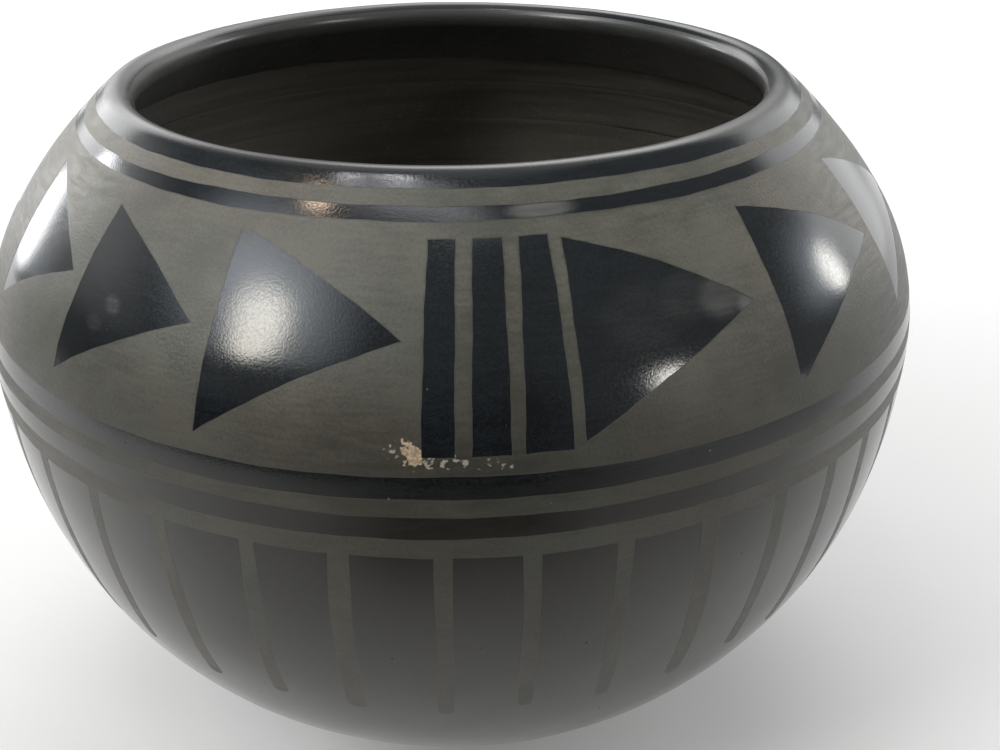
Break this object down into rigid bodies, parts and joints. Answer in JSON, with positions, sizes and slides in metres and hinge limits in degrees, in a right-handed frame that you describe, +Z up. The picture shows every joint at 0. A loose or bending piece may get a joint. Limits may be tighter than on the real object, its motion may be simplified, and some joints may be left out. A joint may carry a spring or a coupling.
{
  "type": "pottery jar",
  "caption": "Low, wide coil-built blackware jar with a rounded lip and open mouth, burnished black, painted with matte lines, triangles, bars and hanging strokes.",
  "frame": {"origin": "centre of the foot, on the surface that the jar stands on", "axes": "+Z up along the jar's axis; -Y is the front, where the group of bars is painted; +X to the right seen from the front"},
  "size_m": [0.2004, 0.2004, 0.144],
  "materials": {
    "clay": "scraped, smoke-blackened, matte",
    "burnished_slip": "stone-burnished, glossy",
    "matte_paint": "matte"
  },
  "bodies": {
    "root": {"formed_base": "clay", "wall_coil_1": "clay", "wall_coil_2": "clay", "wall_coil_3": "clay", "wall_coil_4": "clay", "wall_coil_5": "clay", "wall_coil_6": "clay", "wall_coil_7": "clay", "wall_coil_8": "clay", "rim_coil": "clay", "outer_slip": "burnished_slip", "mouth_slip": "burnished_slip", "neck_line": "matte_paint", "shoulder_field": "matte_paint", "waist_line": "matte_paint", "skirt_line": "matte_paint", "hanging_strokes": "matte_paint"}
  },
  "joints": []
}
